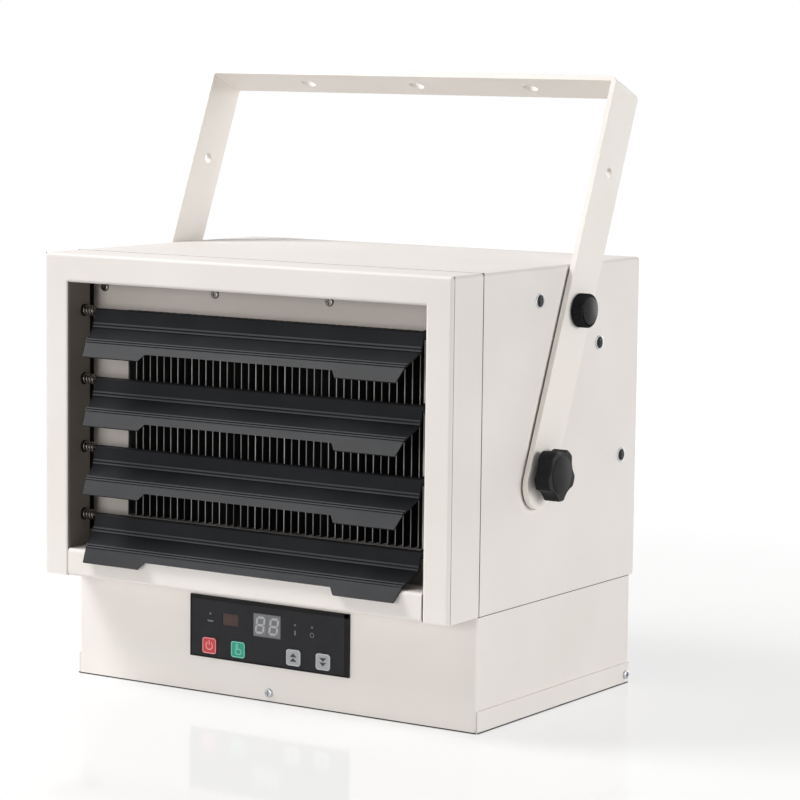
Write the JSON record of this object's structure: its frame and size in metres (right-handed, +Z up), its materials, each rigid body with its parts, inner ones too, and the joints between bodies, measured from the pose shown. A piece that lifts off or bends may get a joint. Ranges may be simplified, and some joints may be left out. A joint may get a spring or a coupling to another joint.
{
  "type": "garage heater",
  "caption": "Electric garage heater: painted sheet-metal box with tilting black louvres over a finned element, a control base below and a tilting hanging bracket with star and lock knobs.",
  "frame": {"origin": "middle of the base, on the underside of its bottom tray", "axes": "+X to the right as seen from the front, +Y to the rear, +Z up"},
  "size_m": [0.403, 0.2825, 0.4622],
  "materials": {
    "cabinet_paint": "satin powder coat, warm off-white",
    "bracket_paint": "satin powder coat, warm off-white",
    "louvre_black": "satin black coating on aluminium",
    "fin_metal": "dark oxidised fins with bright edges",
    "bright_steel": "zinc plated",
    "spring_steel": "bare spring wire",
    "galvanised": "galvanised sheet",
    "element_sheath": "oxidised stainless sheath",
    "fan_aluminium": "plain stamped sheet",
    "motor_core": "varnished laminations",
    "knob_black": "moulded, fine grain",
    "panel_black": "fine satin film",
    "display_lens": "segmented display window",
    "receiver_lens": "dark red infrared window",
    "key_red": "printed key cap",
    "key_green": "printed key cap",
    "key_grey": "printed key cap",
    "circuit_board": "solder mask",
    "component_black": "moulded housing",
    "terminal_white": "moulded block",
    "nylon": "natural nylon"
  },
  "bodies": {
    "cabinet": {"upper_shell": "cabinet_paint", "front_frame": "cabinet_paint", "front_bottom_rail": "cabinet_paint", "baffle_plate": "cabinet_paint", "rear_panel": "cabinet_paint", "deck_plate": "galvanised", "base_shell": "cabinet_paint", "base_rear_panel": "cabinet_paint", "bottom_tray": "cabinet_paint", "pivot_springs": "spring_steel", "pivot_spacers": "knob_black", "element_plate_right": "galvanised", "element_plate_left": "galvanised", "angle_lock_nuts": "bright_steel", "pivot_nuts": "bright_steel", "pivot_washers": "nylon", "fin_pack": "fin_metal", "heating_tube_1": "element_sheath", "heating_tube_2": "element_sheath", "heating_tube_3": "element_sheath", "thermal_cutout": "component_black", "fan_motor": "motor_core", "motor_bracket": "galvanised", "control_fascia": "panel_black", "display_module": "display_lens", "receiver_window": "receiver_lens", "control_board": "circuit_board", "key_switches": "component_black", "board_posts": "bright_steel", "power_board": "circuit_board", "power_board_posts": "bright_steel", "relays": "component_black", "terminal_block": "terminal_white", "cable_gland": "component_black", "baffle_screws": "bright_steel", "tray_screws": "bright_steel", "rear_panel_screws": "bright_steel", "base_rear_screws": "bright_steel", "motor_screws": "bright_steel"},
    "bracket": {"hanger_bracket": "bracket_paint"},
    "star_right": {"star_knob_right": "knob_black"},
    "star_left": {"star_knob_left": "knob_black"},
    "lock_right": {"lock_knob_right": "knob_black"},
    "lock_left": {"lock_knob_left": "knob_black"},
    "fan": {"fan_blade": "fan_aluminium", "motor_shaft": "bright_steel"},
    "power_key": {"power_button": "key_red"},
    "heat_key": {"heat_button": "key_green"},
    "up_key": {"up_button": "key_grey"},
    "down_key": {"down_button": "key_grey"},
    "louvre_1_blade": {"louvre_1": "louvre_black", "louvre_1_pins": "bright_steel"},
    "louvre_2_blade": {"louvre_2": "louvre_black", "louvre_2_pins": "bright_steel"},
    "louvre_3_blade": {"louvre_3": "louvre_black", "louvre_3_pins": "bright_steel"},
    "louvre_4_blade": {"louvre_4": "louvre_black", "louvre_4_pins": "bright_steel"}
  },
  "joints": [
    {"name": "bracket_tilt", "type": "hinge", "parent": "cabinet", "child": "bracket", "pos_m": [0, -0.033, 0.178], "axis": [-1, 0, 0], "range_deg": [-22.5, 67.5]},
    {"name": "star_turn_right", "type": "hinge", "parent": "cabinet", "child": "star_right", "pos_m": [0.1855, -0.033, 0.178], "axis": [1, 0, 0], "continuous": true},
    {"name": "star_turn_left", "type": "hinge", "parent": "cabinet", "child": "star_left", "pos_m": [-0.1855, -0.033, 0.178], "axis": [-1, 0, 0], "continuous": true},
    {"name": "lock_turn_right", "type": "hinge", "parent": "bracket", "child": "lock_right", "pos_m": [0.1855, 0.01445, 0.29256], "axis": [1, 0, 0], "continuous": true},
    {"name": "lock_turn_left", "type": "hinge", "parent": "bracket", "child": "lock_left", "pos_m": [-0.1855, 0.01445, 0.29256], "axis": [-1, 0, 0], "continuous": true},
    {"name": "louvre_1_turn", "type": "hinge", "parent": "cabinet", "child": "louvre_1_blade", "pos_m": [0, -0.1305, 0.2826], "axis": [-1, 0, 0], "range_deg": [-30, 50]},
    {"name": "louvre_2_turn", "type": "hinge", "parent": "cabinet", "child": "louvre_2_blade", "pos_m": [0, -0.1305, 0.2312], "axis": [-1, 0, 0], "range_deg": [-30, 50]},
    {"name": "louvre_3_turn", "type": "hinge", "parent": "cabinet", "child": "louvre_3_blade", "pos_m": [0, -0.1305, 0.1798], "axis": [-1, 0, 0], "range_deg": [-30, 50]},
    {"name": "louvre_4_turn", "type": "hinge", "parent": "cabinet", "child": "louvre_4_blade", "pos_m": [0, -0.1305, 0.1284], "axis": [-1, 0, 0], "range_deg": [0, 50]},
    {"name": "fan_turn", "type": "hinge", "parent": "cabinet", "child": "fan", "pos_m": [0, 0.086, 0.205], "axis": [0, 1, 0], "continuous": true},
    {"name": "power_press", "type": "slide", "parent": "cabinet", "child": "power_key", "axis": [0, 1, 0], "range_m": [0, 0.0008], "stiffness_N_per_m": 400},
    {"name": "heat_press", "type": "slide", "parent": "cabinet", "child": "heat_key", "axis": [0, 1, 0], "range_m": [0, 0.0008], "stiffness_N_per_m": 400},
    {"name": "up_press", "type": "slide", "parent": "cabinet", "child": "up_key", "axis": [0, 1, 0], "range_m": [0, 0.0008], "stiffness_N_per_m": 400},
    {"name": "down_press", "type": "slide", "parent": "cabinet", "child": "down_key", "axis": [0, 1, 0], "range_m": [0, 0.0008], "stiffness_N_per_m": 400}
  ]
}
